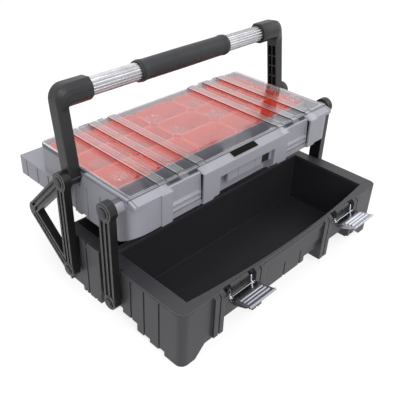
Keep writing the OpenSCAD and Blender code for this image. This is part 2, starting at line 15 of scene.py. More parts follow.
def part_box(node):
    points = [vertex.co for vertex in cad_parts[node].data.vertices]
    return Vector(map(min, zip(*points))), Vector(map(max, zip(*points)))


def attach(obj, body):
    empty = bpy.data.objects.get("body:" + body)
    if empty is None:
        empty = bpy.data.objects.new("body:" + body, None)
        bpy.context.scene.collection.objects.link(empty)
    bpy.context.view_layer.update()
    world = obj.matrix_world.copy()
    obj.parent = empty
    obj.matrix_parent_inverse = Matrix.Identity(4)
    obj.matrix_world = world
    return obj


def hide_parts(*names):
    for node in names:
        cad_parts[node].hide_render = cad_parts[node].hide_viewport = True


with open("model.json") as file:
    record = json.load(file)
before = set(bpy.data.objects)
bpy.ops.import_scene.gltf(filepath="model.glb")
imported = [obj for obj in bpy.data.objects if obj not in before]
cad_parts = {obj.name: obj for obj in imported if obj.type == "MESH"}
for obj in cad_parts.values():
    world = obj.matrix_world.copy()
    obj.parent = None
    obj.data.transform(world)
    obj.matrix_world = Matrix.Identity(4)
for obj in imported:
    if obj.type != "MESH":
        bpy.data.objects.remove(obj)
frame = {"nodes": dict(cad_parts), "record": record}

LOG = logging.getLogger("tool_box")
MM = 0.001
Colour = tuple[float, float, float]
Corners = tuple[tuple[float, ...], ...]
Mesh = tuple[np.ndarray, Sequence[Sequence[int]]]

DUST: Colour = (0.35, 0.34, 0.33)
GAP_PAINTED_SHADE: Colour = (0.02, 0.02, 0.022)
PAINTED_SHADE_DARK: Colour = (0.004, 0.004, 0.004)
PAINTED_DEPTH_SHADE_RED: Colour = (0.36, 0.075, 0.06)
SHEET_PALE: Colour = (0.93, 0.94, 0.96)
PAINTED_DARK_SEEN_THROUGH: Colour = (0.05, 0.05, 0.055)
PAINTED_RED_SEEN_THROUGH: Colour = (0.36, 0.03, 0.015)
WORN_AND_LIT_METAL: Colour = (0.9, 0.91, 0.93)


# ---------------------------------------------------------------- shader kit
@dataclass(frozen=True)
class Value:
    """A number that varies over a surface: one socket of a node graph.

    Python's operators on it add Math nodes, also with the number on the left.

    Attributes:
        graph: the node graph that it belongs to.
        socket: the output that carries it.
    """

    graph: "Graph"
    socket: bpy.types.NodeSocket

    def _math(self, operation: str, *operands: Any, clamp: bool = False) -> "Value":
        """Adds one Math node.

        Args:
            operation: the node's operation, such as "ADD".
            operands: the values or numbers it works on, in order.
            clamp: whether the result is held between 0 and 1.

        Returns:
            The result as a new value.
        """
        node = self.graph.node("ShaderNodeMath", {"operation": operation, "use_clamp": clamp},
                               dict(enumerate(operands)))
        return Value(self.graph, node.outputs[0])

    def __add__(self, other: Any) -> "Value":
        """self + other."""
        return self._math("ADD", self, other)

    __radd__ = __add__

    def __mul__(self, other: Any) -> "Value":
        """self * other."""
        return self._math("MULTIPLY", self, other)

    __rmul__ = __mul__

    def __sub__(self, other: Any) -> "Value":
        """self - other."""
        return self._math("SUBTRACT", self, other)

    def __rsub__(self, other: Any) -> "Value":
        """other - self."""
        return self._math("SUBTRACT", other, self)

    def __pow__(self, other: Any) -> "Value":
        """self to the power of other."""
        return self._math("POWER", self, other)

    def __gt__(self, other: Any) -> "Value":
        """1 where self is above other, else 0."""
        return self._math("GREATER_THAN", self, other)

    def __lt__(self, other: Any) -> "Value":
        """1 where self is below other, else 0."""
        return self._math("LESS_THAN", self, other)

    def __abs__(self) -> "Value":
        """The size of self without its sign."""
        return self._math("ABSOLUTE", self)

    def held(self) -> "Value":
        """Self held between 0 and 1."""
        return self._math("ADD", self, 0.0, clamp=True)

    def sine(self) -> "Value":
        """The sine of self, taken in radians."""
        return self._math("SINE", self)

    def rise(self, low: float, high: float) -> "Value":
        """A ramp over self.

        Args:
            low: where the ramp is 0.
            high: where it reaches 1.

        Returns:
            (self - low) / (high - low), held between 0 and 1.
        """
        return ((self - low) * (1.0 / (high - low))).held()


class Graph:
    """The node graph of one material, with its output node in place."""

    def __init__(self, name: str) -> None:
        """Starts an empty material.

        Args:
            name: the material's name.
        """
        self.material = bpy.data.materials.new(name)
        self.material.use_nodes = True
        self.tree = self.material.node_tree
        self.tree.nodes.clear()
        self.output = self.node("ShaderNodeOutputMaterial")

    def node(self, kind: str, settings: Mapping[str, Any] | None = None,
             inputs: Mapping[Any, Any] | None = None) -> bpy.types.Node:
        """Adds one node of any kind.

        Args:
            kind: the node's type name.
            settings: attributes that are set first.
            inputs: numbers, colours, sockets or values, by socket name or place.

        Returns:
            The new node.
        """
        node = self.tree.nodes.new(kind)
        for key, value in (settings or {}).items():
            setattr(node, key, value)
        for key, value in (inputs or {}).items():
            socket = node.inputs[key]
            if isinstance(value, Value):
                value = value.socket
            if isinstance(value, bpy.types.NodeSocket):
                self.tree.links.new(value, socket)
            elif isinstance(value, tuple) and len(value) == 3 and socket.type == "RGBA":
                socket.default_value = (*value, 1.0)
            else:
                socket.default_value = value
        return node

    def value(self, socket: bpy.types.NodeSocket) -> Value:
        """Wraps a socket so that it can be calculated with."""
        return Value(self, socket)

    def place(self) -> bpy.types.NodeSocket:
        """The point's own place on the object, in metres."""
        return self.node("ShaderNodeTexCoord").outputs["Object"]

    def axes(self) -> tuple[Value, Value, Value]:
        """The three numbers of the point's place."""
        split = self.node("ShaderNodeSeparateXYZ", None, {0: self.place()})
        return self.value(split.outputs[0]), self.value(split.outputs[1]), self.value(split.outputs[2])

    def facing_up(self) -> Value:
        """The upward share of the surface normal, from -1 to 1."""
        normal = self.node("ShaderNodeNewGeometry").outputs["Normal"]
        return self.value(self.node("ShaderNodeSeparateXYZ", None, {0: normal}).outputs[2])

    def noise(self, scale: float, detail: float = 2.0, rough: float = 0.5,
              stretch: tuple[float, float, float] = (1.0, 1.0, 1.0)) -> Value:
        """Cloudy noise over the object.

        Args:
            scale: how many clouds there are to a metre.
            detail: how many finer layers are added.
            rough: how strong the finer layers are.
            stretch: factor of the scale along each axis.

        Returns:
            The noise, around 0.5.
        """
        mapped = self.node("ShaderNodeMapping", None, {"Vector": self.place(), "Scale": stretch})
        node = self.node("ShaderNodeTexNoise", None, {
            "Vector": mapped.outputs[0], "Scale": scale, "Detail": detail, "Roughness": rough})
        return self.value(node.outputs[0])

    def mix(self, share: Any, low: Any, high: Any) -> bpy.types.NodeSocket:
        """Mixes two colours.

        Args:
            share: how much of the second colour shows, from 0 to 1.
            low: the first colour.
            high: the second colour.

        Returns:
            The mixed colour's socket.
        """
        node = self.node("ShaderNodeMix", {"data_type": "RGBA", "clamp_factor": True},
                         {0: share, 6: low, 7: high})
        return node.outputs[2]

    def soft_edges(self, radius: float) -> tuple[bpy.types.NodeSocket, Value]:
        """Rounds the edges in the normal.

        Args:
            radius: the radius of the rounding, in metres.

        Returns:
            The rounded normal, and a mask that is above 0 only on the edges.
        """
        bevel = self.node("ShaderNodeBevel", {"samples": 4}, {"Radius": radius})
        flat = self.node("ShaderNodeNewGeometry").outputs["Normal"]
        dot = self.node("ShaderNodeVectorMath", {"operation": "DOT_PRODUCT"},
                        {0: bevel.outputs[0], 1: flat})
        return bevel.outputs[0], 1.0 - self.value(dot.outputs["Value"])

    def bump(self, height: Value, depth: float, normal: bpy.types.NodeSocket) -> bpy.types.NodeSocket:
        """Turns a height into a normal.

        Args:
            height: the height, from 0 to 1.
            depth: what a height of 1 stands for, in metres.
            normal: the normal that it starts from.

        Returns:
            The new normal's socket.
        """
        inputs = {"Height": height, "Distance": depth, "Strength": 1.0, "Normal": normal}
        return self.node("ShaderNodeBump", None, inputs).outputs[0]

    def surface(self, shader: bpy.types.Node) -> bpy.types.Material:
        """Links a shader to the output.

        Args:
            shader: the shader node whose first socket is shown.

        Returns:
            The finished material.
        """
        self.tree.links.new(shader.outputs[0], self.output.inputs[0])
        return self.material


# ------------------------------------------------------------------ finishes
@dataclass(frozen=True)
class Moulded:
    """Injection moulded plastic with a spark eroded grain, and edges paled both by wear and as a painted
    highlight.

    Attributes:
        name: name of the material.
        colour: its colour.
        roughness: how matt it is.
        grain: depth of the grain in metres.
        mottle: how strongly the tone drifts over the part.
        wear_and_highlight: how much paler the edges are, as wear and as a painted highlight.
        rounding: radius of the moulded edges in metres.
        dust: how much paler the faces that look up are.
        specular: strength of the mirrored light.
        glow: strength of a painted glow, an emission in the part's own colour that brightens it though it is
            no lamp.
        gap_shade_lines: axis, place and half width in metres of each dark line painted as shade in a gap of
            a rim.
        gap_shade_over: height above which the painted gap shade shows.
        gap_shade_sides: how far out and how far back a level line of painted gap shade starts, in metres.
        inside: half width, half depth and height of the box in which the colour is darkened as painted
            shade, in metres.
        shade: how strongly that painted shade darkens the colour.
        wear_and_highlight_lift: how much paler than the colour the edges get, as wear and as a painted
            highlight.
        reeds: distance between fine upright ribs in metres, or 0 for none.
        deep: height where a painted shade starts to darken the walls, height where it is at full strength,
            and that strength.
    """

    name: str
    colour: Colour
    roughness: float = 0.5
    grain: float = 0.00008
    mottle: float = 0.12
    wear_and_highlight: float = 0.25
    rounding: float = 0.0008
    dust: float = 0.0
    specular: float = 0.5
    glow: float = 0.0
    gap_shade_lines: tuple[tuple[int, float, float], ...] = ()
    gap_shade_over: float = 0.0
    gap_shade_sides: tuple[float, float] = (0.2535, -0.012)
    inside: tuple[float, float, float] | None = None
    shade: float = 0.5
    wear_and_highlight_lift: float = 0.03
    reeds: float = 0.0
    deep: tuple[float, float, float] | None = None

    def build(self) -> bpy.types.Material:
        """Builds the material.

        Returns:
            The finished material.
        """
        graph = Graph(self.name)
        normal, edge = graph.soft_edges(self.rounding)
        cloud = graph.noise(9.0, 4.0, 0.6)
        speck = graph.noise(420.0, 3.0, 0.7)
        grain = graph.noise(1500.0, 2.0, 0.6) * 0.6 + graph.noise(620.0, 2.0, 0.5) * 0.4
        swipe = graph.noise(30.0, 5.0, 0.7, (1.0, 9.0, 2.5)).rise(0.58, 0.75)
        # Edges are paled both as wear and as a painted highlight.
        worn_and_lit_edges = (edge * 5.0).held() * (cloud * 0.8 + 0.5)
        drift = (cloud - 0.5) * self.mottle * 2.0 + (speck - 0.5) * self.mottle
        deep = tuple(c * 0.72 for c in self.colour)
        pale = tuple(min(1.0, c * 1.28 + 0.004) for c in self.colour)
        worn_and_lit_colour = tuple(min(1.0, c * 1.7 + self.wear_and_highlight_lift) for c in self.colour)
        tone = graph.mix((drift + 0.5).held(), deep, pale)
        tone = graph.mix((worn_and_lit_edges * self.wear_and_highlight * 2.0).held(), tone, worn_and_lit_colour)
        if self.dust:
            laid = graph.facing_up().rise(0.6, 1.0) * (cloud * 0.7 + 0.4) * self.dust
            tone = graph.mix(laid.held(), tone, DUST)
        across, back, height = place = graph.axes()
        # Painted shade: dark lines where the gaps in the rim would lie in shade.
        for axis, at, half in self.gap_shade_lines:
            along = abs(across) if axis == 0 else place[axis]
            gap = (abs(along - at) < half) * (height > self.gap_shade_over)
            if axis == 2:
                gap = gap * (abs(across) > self.gap_shade_sides[0]) * (back > self.gap_shade_sides[1])
            tone = graph.mix(gap * 0.75, tone, GAP_PAINTED_SHADE)
        # Painted shade: the colour inside the box is darkened, for the tub's inside and for the links' faces
        # set back from their outer face.
        if self.inside:
            half_width, half_depth, top = self.inside
            in_painted_shade = (abs(across) < half_width) * (abs(back) < half_depth) * (height < top)
            tone = graph.mix(in_painted_shade * self.shade, tone, PAINTED_SHADE_DARK)
        # Painted shade: the walls darken towards the floor, where less light reaches.
        if self.deep:
            top, foot, share = self.deep
            tone = graph.mix((1.0 - height.rise(foot, top)) * share, tone, PAINTED_DEPTH_SHADE_RED)
        if self.reeds:
            wave = (across * (2 * math.pi / self.reeds)).sine() * 0.5 + 0.5
            tone = graph.mix(wave ** 3.0 * 0.4, tone, deep)
            grain = grain * 0.1 + wave
        matt = self.roughness + (cloud - 0.5) * 0.16 + (grain - 0.5) * 0.1 - swipe * 0.06 - worn_and_lit_edges * 0.08
        # The emission is a painted glow.
        return graph.surface(graph.node("ShaderNodeBsdfPrincipled", None, {
            "Base Color": tone, "Roughness": matt.held(), "Specular IOR Level": self.specular,
            "Emission Color": self.colour, "Emission Strength": self.glow,
            "Normal": graph.bump(grain, self.grain, normal)}))


@dataclass(frozen=True)
class ClearSheet:
    """Clear polycarbonate: it mirrors more the flatter it is looked along.

    Attributes:
        name: name of the material.
        mirror: share that is mirrored when looked at straight.
        graze: share that is added when looked along.
        tint: colour of what shows through.
        haze: share that a frosted sheet adds all over.
        edge: share that the edges add, as a painted highlight.
        sheet_top: height of the flat top.
        rib_top: height of the tops of the ribs.
        frost: share that the tops of the ribs add.
        flank: share that the sides of the ribs hide.
        channel: place in front of which there are no bins under the sheet.
        ribs: places of the ribs across the lid.
        refraction_strip: where the strip beside a rib starts and ends, from the rib's middle; there the
            sheet mirrors less, painting in the red seen through the rib's side.
        rib_highlight: where the painted highlight line on top of a rib starts and ends, likewise.
        front: place in front of which the sheet mirrors less.
        front_highlight: where the pale painted highlight line along the front edge starts and ends.
        side_highlight: how far out the pale painted highlight line along each side starts.
        rounding: radius of the moulded edges.
    """

    name: str
    mirror: float = 0.125
    graze: float = 0.75
    tint: Colour = (0.985, 0.985, 0.985)
    haze: float = 0.0
    edge: float = 0.35
    sheet_top: float = 243.6 * MM
    rib_top: float = 247.1 * MM
    frost: float = 0.11
    flank: float = 0.72
    channel: float = 0.030
    ribs: tuple[float, ...] = (-0.190, -0.147, -0.103, 0.103, 0.147, 0.190)
    refraction_strip: tuple[float, float] = (0.0085, 0.0130)
    rib_highlight: tuple[float, float] = (0.0066, 0.0087)
    front: float = -0.0118
    front_highlight: tuple[float, float] = (-0.0121, -0.0106)
    side_highlight: float = 0.2484
    rounding: float = 0.0006

    def build(self) -> bpy.types.Material:
        """Builds the material.

        Returns:
            The finished material.
        """
        graph = Graph(self.name)
        normal, edge = graph.soft_edges(self.rounding)
        facing = graph.value(graph.node("ShaderNodeLayerWeight", None, {"Blend": 0.5}).outputs["Facing"])
        ripple = graph.noise(16.0, 3.0, 0.5)
        scratch = graph.noise(60.0, 4.0, 0.7, (1.0, 0.08, 1.0)).rise(0.62, 0.8)
        across, back, height = graph.axes()
        raised = height > self.rib_top - 0.3 * MM
        low = height < self.sheet_top + 0.2 * MM
        flank = (height > self.sheet_top + 0.2 * MM) * (abs(graph.facing_up()) < 0.3)
        # The edges add mirrored share as a painted highlight.
        share = self.mirror + facing ** 5.0 * self.graze + (edge * 3.0).held() * self.edge
        share = share + scratch * 0.012 + self.haze + raised * self.frost
        refraction_middle, refraction_half = sum(self.refraction_strip) / 2, (self.refraction_strip[1] - self.refraction_strip[0]) / 2
        # Beside each rib the sheet mirrors less, painting in the refracted red seen through the rib's side.
        for rib in self.ribs:
            strip = abs(across - (rib - refraction_middle)) < refraction_half
            share = share * (1.0 - strip * low * 0.8)
            # Painted highlight: a pale line along the top of each rib.
            away = abs(across - rib)
            share = share + (away > self.rib_highlight[0]) * (away < self.rib_highlight[1]) * raised * 0.3
        share = share * (1.0 - (back < self.front) * 0.55)
        # Painted highlights: pale lines along the front and side edges.
        highlight_lines = (abs(across) > self.side_highlight) + (back < self.front_highlight[1]) * (back > self.front_highlight[0])
        share = share + highlight_lines.held() * low * 0.4
        share = share * (1.0 - flank) + flank * self.flank
        # Painted reflection: the mirrored layer is tinted red over the bins and dark over the channel,
        # standing in for what shows through the sheet.
        painted_see_through = graph.mix(back > self.channel, PAINTED_DARK_SEEN_THROUGH, PAINTED_RED_SEEN_THROUGH)
        matt = 0.05 + scratch * 0.1 + ripple * 0.04 + raised * 0.25 + flank * 0.4
        gloss = graph.node("ShaderNodeBsdfPrincipled", None, {
            "Base Color": graph.mix(flank, SHEET_PALE, painted_see_through), "Metallic": 1.0 - flank,
            "Roughness": matt.held(), "Normal": graph.bump(ripple, 0.0004, normal)})
        through = graph.node("ShaderNodeBsdfTransparent", None, {"Color": self.tint})
        return graph.surface(graph.node("ShaderNodeMixShader", None, {
            0: share.held(), 1: through.outputs[0], 2: gloss.outputs[0]}))


@dataclass(frozen=True)
class Metal:
    """Metal with drawn lines along one axis and faint stains.

    Attributes:
        name: name of the material.
        colour: its colour.
        roughness: how dull it is.
        lines: factor of the line pattern along each axis; small runs long.
        depth: depth of the lines in metres.
        stain: how much darker the stained places are.
    """

    name: str
    colour: Colour
    roughness: float = 0.28
    lines: tuple[float, float, float] = (0.03, 1.0, 1.0)
    depth: float = 0.00003
    stain: float = 0.25

    def build(self) -> bpy.types.Material:
        """Builds the material.

        Returns:
            The finished material.
        """
        graph = Graph(self.name)
        normal, edge = graph.soft_edges(0.0004)
        lines = graph.noise(2200.0, 3.0, 0.6, self.lines)
        cloud = graph.noise(35.0, 4.0, 0.6)
        dull = tuple(c * (1.0 - self.stain) for c in self.colour)
        tone = graph.mix((cloud.rise(0.35, 0.75) + (lines - 0.5) * 0.5).held(), self.colour, dull)
        # Edges are paled both as worn bare metal and as a painted highlight.
        tone = graph.mix((edge * 4.0).held() * 0.5, tone, WORN_AND_LIT_METAL)
        matt = self.roughness + (cloud - 0.5) * 0.2 + (lines - 0.5) * 0.15
        return graph.surface(graph.node("ShaderNodeBsdfPrincipled", None, {
            "Base Color": tone, "Metallic": 1.0, "Roughness": matt.held(),
            "Normal": graph.bump(lines, self.depth, normal)}))


class Finish(Enum):
    """The finishes of the tool box."""

    # The tub's inside is darkened as painted shade.
    CHARCOAL = Moulded("charcoal_polypropylene", (0.034, 0.032, 0.038), 0.46, 0.00010, 0.14, 0.60, 0.0011,
                       inside=(0.2443, 0.1335, 0.104), wear_and_highlight_lift=0.10)
    BLACK = Moulded("black_polypropylene", (0.016, 0.016, 0.0185), 0.42, 0.00006, 0.12, 0.60, 0.0010,
                    specular=0.38, wear_and_highlight_lift=0.07)
    # The links' sides and groove floors, set back from their outer face, are darkened as painted shade.
    LINK = Moulded("link_polypropylene", (0.024, 0.024, 0.026), 0.40, 0.00006, 0.12, 0.95, 0.0012,
                   specular=0.38, inside=(0.2868, 9.0, 9.0), shade=0.85, wear_and_highlight_lift=0.34)
    # The grey organizer carries painted shade lines at the gaps round the lid.
    GREY = Moulded("grey_polypropylene", (0.375, 0.375, 0.43), 0.42, 0.00005, 0.05, 0.22, 0.0010,
                   gap_shade_lines=((0, 0.2508, 0.0008), (1, -0.0145, 0.0012), (2, 0.2352, 0.0008)), gap_shade_over=0.2335)
    # The red bins carry a painted glow, and a painted shade that darkens their walls lower down.
    RED = Moulded("red_polypropylene", (0.83, 0.085, 0.035), 0.34, 0.00002, 0.05, 0.06, 0.0006, glow=0.13,
                   deep=(0.226, 0.192, 0.46))
    RUBBER = Moulded("grip_rubber", (0.016, 0.017, 0.021), 0.46, 0.00012, 0.12, 0.12, 0.0010,
                     specular=0.4)
    BADGE = Moulded("badge_black", (0.003, 0.003, 0.003), 0.30, 0.00001, 0.05, 0.1, 0.0004, specular=0.05)
    TRIM = Moulded("badge_trim", (0.42, 0.40, 0.36), 0.35, 0.00001, 0.05, 0.1, 0.0003)
    # Dark plastic of the latch plates and screws, also used for the dark sheets that paint shade in the
    # organizer.
    PIT = Moulded("dark_plate_and_painted_shade", (0.010, 0.010, 0.011), 0.60, 0.00003, 0.05, 0.1, 0.0004, specular=0.2)
    CLEAR = ClearSheet("clear_polycarbonate")
    FROSTED = ClearSheet("frosted_marks", haze=0.52, frost=0.0, flank=0.3, edge=0.1)
    CATCH = Moulded("catch_grey", (0.40, 0.40, 0.455), 0.32, 0.00030, 0.04, 0.2, 0.0008, reeds=0.0034)
    ALUMINIUM = Metal("bright_aluminium", (0.49, 0.49, 0.515), 0.27)
    STEEL = Metal("zinc_plated_steel", (0.66, 0.68, 0.72), 0.20, (1.0, 0.04, 1.0))
    LEVER = Metal("pressed_steel", (0.42, 0.43, 0.47), 0.16, (1.0, 0.04, 1.0))

    def material(self) -> bpy.types.Material:
        """The finish's material, built when it is first asked for."""
        return bpy.data.materials.get(self.value.name) or self.value.build()


def dress(finish: Finish, *nodes: str) -> None:
    """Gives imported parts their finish.

    Args:
        finish: the finish they get.
        nodes: names of the parts.
    """
    for name in nodes:
        for slot in frame["nodes"][name].material_slots:
            slot.material = finish.material()
        LOG.info("part %s wears %s", name, finish.value.name)


# ---------------------------------------------------------------- mesh tools
def grid_faces(rows: int, columns: int, wrap_rows: bool, wrap_columns: bool) -> np.ndarray:
    """Faces of a grid of points numbered row by row.

    Args:
        rows: number of rows.
        columns: number of columns.
        wrap_rows: whether the last row joins the first.
        wrap_columns: whether the last column joins the first.

    Returns:
        One line of four point numbers for each face.
    """
    i, j = np.meshgrid(np.arange(rows - (not wrap_rows)), np.arange(columns - (not wrap_columns)),
                       indexing="ij")
    up, side = (i + 1) % rows, (j + 1) % columns
    return np.stack([i * columns + j, i * columns + side, up * columns + side, up * columns + j],
                    axis=-1).reshape(-1, 4)


def new_piece(name: str, points: np.ndarray, faces: Sequence[Sequence[int]], finish: Finish, body: str,
              smooth: bool = True) -> bpy.types.Object:
    """Makes a piece of the object from points and faces.

    Args:
        name: name of the piece.
        points: its points in metres, one a line.
        faces: point numbers of each face.
        finish: the finish it wears.
        body: the body that it moves with.
        smooth: whether its faces are shaded smooth.

    Returns:
        The new object.
    """
    mesh = bpy.data.meshes.new(name)
    mesh.from_pydata(np.asarray(points, float).tolist(), [], [list(map(int, f)) for f in faces])
    mesh.validate()
    mesh.update()
    mesh.polygons.foreach_set("use_smooth", np.full(len(mesh.polygons), smooth))
    piece = bpy.data.objects.new(name, mesh)
    bpy.context.scene.collection.objects.link(piece)
    mesh.materials.append(finish.material())
    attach(piece, body)
    LOG.info("piece %s rides on %s, %d faces", name, body, len(mesh.polygons))
    return piece


def tube_faces(rows: int, columns: int) -> list[Sequence[int]]:
    """Faces of a closed tube: the wall's quads and one flat face on each end.

    Args:
        rows: rings along the tube.
        columns: points round it.

    Returns:
        The faces as lists of point numbers.
    """
    wall = grid_faces(rows, columns, False, True)
    return [*wall.tolist(), list(range(columns))[::-1],
            list(range((rows - 1) * columns, rows * columns))]


def joined(parts: Sequence[Mesh]) -> Mesh:
    """Puts several meshes together.

    Args:
        parts: points and faces of each.

    Returns:
        All points, and the faces with their numbers moved on.
    """
    points, faces, start = [], [], 0
    for own, own_faces in parts:
        points.append(np.asarray(own, float).reshape(-1, 3))
        faces += [[int(v) + start for v in face] for face in own_faces]
        start += len(points[-1])
    return np.concatenate(points), faces


def slab(low: Sequence[float], high: Sequence[float]) -> Mesh:
    """A thin plate between two corners.

    Args:
        low: its lowest corner.
        high: its highest corner.

    Returns:
        Its points and faces.
    """
    corner = np.array([low, high], float)
    bits = np.array([[0, 0, 0], [1, 0, 0], [1, 1, 0], [0, 1, 0],
                     [0, 0, 1], [1, 0, 1], [1, 1, 1], [0, 1, 1]])
    faces = [[0, 3, 2, 1], [4, 5, 6, 7], [0, 1, 5, 4], [1, 2, 6, 5], [2, 3, 7, 6], [3, 0, 4, 7]]
    return corner[bits, np.arange(3)], faces


def turned(radii: np.ndarray, along: np.ndarray, columns: int,
           wave: np.ndarray | None = None) -> np.ndarray:
    """A turned form about the X axis.

    The point at place s and angle t is (s, r sin t, r cos t), where r is the
    profile's radius times 1 + wave(t).

    Args:
        radii: the profile's radii.
        along: the profile's places along X.
        columns: points round the axis.
        wave: share by which the radius changes round the axis.

    Returns:
        The points, ring by ring.
    """
    angle = np.linspace(0.0, 2 * math.pi, columns, endpoint=False)
    share = np.ones(columns) if wave is None else 1.0 + wave
    radius = radii[:, None] * share[None, :]
    return np.stack([np.broadcast_to(along[:, None], radius.shape), radius * np.sin(angle),
                     radius * np.cos(angle)], axis=-1).reshape(-1, 3)


def ease(share: np.ndarray) -> np.ndarray:
    """A smooth step: 3 s squared minus 2 s cubed, with s held between 0 and 1."""
    held = np.clip(share, 0.0, 1.0)
    return held * held * (3.0 - 2.0 * held)


def joint_place(name: str) -> np.ndarray:
    """The point in metres that a joint turns about."""
    joints = frame["record"]["behaviour"]["joints"]
    return np.array(next(j["pos_m"] for j in joints if j["name"] == name))


def sharpen(piece: bpy.types.Object, degrees: float) -> None:
    """Marks the edges sharper than an angle, so that smooth shading stops there."""
    piece.data.set_sharp_from_angle(angle=math.radians(degrees))


def rounded_ring(half_x: float, half_y: float, radius: float, steps: int) -> np.ndarray:
    """Points round a rectangle with round corners, against the clock.

    Each corner is a quarter circle of the radius about a centre that lies the
    radius inside both sides.

    Args:
        half_x: half of its width.
        half_y: half of its depth.
        radius: radius of its corners.
        steps: points on each corner.

    Returns:
        The points in the plane, one a line.
    """
    turn = np.linspace(0.0, math.pi / 2, steps)
    start = np.arange(4)[:, None] * math.pi / 2
    angle = (start + turn[None, :]).ravel()
    sign_x = np.repeat([1, -1, -1, 1], steps)
    sign_y = np.repeat([1, 1, -1, -1], steps)
    return np.stack([sign_x * (half_x - radius) + radius * np.cos(angle),
                     sign_y * (half_y - radius) + radius * np.sin(angle)], axis=-1)


# --------------------------------------------------------------- sub-assemblies
@dataclass
class Tub:
    """The deep lower tub, all sizes in millimetres.

    Attributes:
        strip: half length of the raised strip along the front rim.
        strip_line: the strip's cross-section, as places from front to back and heights.
    """

    strip: float = 84.6
    strip_line: tuple[tuple[float, float], ...] = (
        (-149.6, 99.0), (-149.6, 109.6), (-150.2, 109.9), (-151.9, 107.0), (-152.1, 106.3), (-152.1, 100.4),
        (-151.5, 99.6))

    def build(self) -> None:
        """Dresses the tub and its pins, and builds the strip along its front rim."""
        dress(Finish.CHARCOAL, "tub")
        dress(Finish.BLACK, "lower_pins")
        line = np.array(self.strip_line)
        ends = [np.column_stack([np.full(len(line), x), line]) for x in (-self.strip, self.strip)]
        new_piece("front_rim_strip", np.concatenate(ends) * MM, [f[::-1] for f in tube_faces(2, len(line))],
                  Finish.CHARCOAL, "tub", smooth=False)


@dataclass
class Linkage:
    """The two pairs of swinging links with their upper pins.

    Attributes:
        face: place of the outer faces of the links, in millimetres.
        rim: inner and outer radius and height of the raised rim round each pivot.
        spokes: number of ribs from the pin to the rim.
    """

    face: float = 287.9
    rim: tuple[float, float, float] = (9.4, 12.3, 1.5)
    spokes: int = 8

    def hub(self, y: float, z: float, side: int) -> list[Mesh]:
        """The rim and the spokes round one pivot.

        Args:
            y: place of the pivot from front to back.
            z: its height.
            side: -1 on the left, 1 on the right.

        Returns:
            Points in millimetres and faces of each part.
        """
        inner, outer, rise = self.rim
        radii = np.array([inner, outer, outer, outer - 0.5, inner + 0.5, inner])
        at = self.face + np.array([-0.4, -0.4, rise - 0.5, rise, rise, rise - 0.5])
        columns = 40
        ring = turned(radii, at, columns)
        faces = grid_faces(6, columns, True, True).tolist()
        parts = [(ring, faces)]
        box, box_faces = slab((self.face - 0.3, 5.0, -0.7), (self.face + 1.0, inner + 0.4, 0.7))
        for angle in np.arange(self.spokes) * 2 * math.pi / self.spokes:
            turn = np.array([[1, 0, 0], [0, math.cos(angle), -math.sin(angle)],
                             [0, math.sin(angle), math.cos(angle)]])
            parts.append((box @ turn.T, box_faces))
        placed = []
        for k, (points, own) in enumerate(parts):
            flip = (side > 0) == (k == 0)
            placed.append((points * [side, 1, 1] + [0, y, z], [f[::-1] for f in own] if flip else own))
        return placed

    def build(self) -> None:
        """Dresses the links and builds the rims round their pivots."""
        dress(Finish.LINK, "link_front_left", "link_front_right", "link_rear_left", "link_rear_right")
        dress(Finish.BLACK, "upper_front_pins", "upper_rear_pins")
        for body, joint, top in (("front_links", "front_link_swing", "organizer_level"),
                                 ("rear_links", "rear_link_swing", "handle_fold")):
            parts = []
            for name in (joint, top):
                _, y, z = joint_place(name) / MM
                parts += self.hub(y, z, -1) + self.hub(y, z, 1)
            points, faces = joined(parts)
            piece = new_piece(body + "_hubs", points * MM, faces, Finish.LINK, body)
            sharpen(piece, 35)


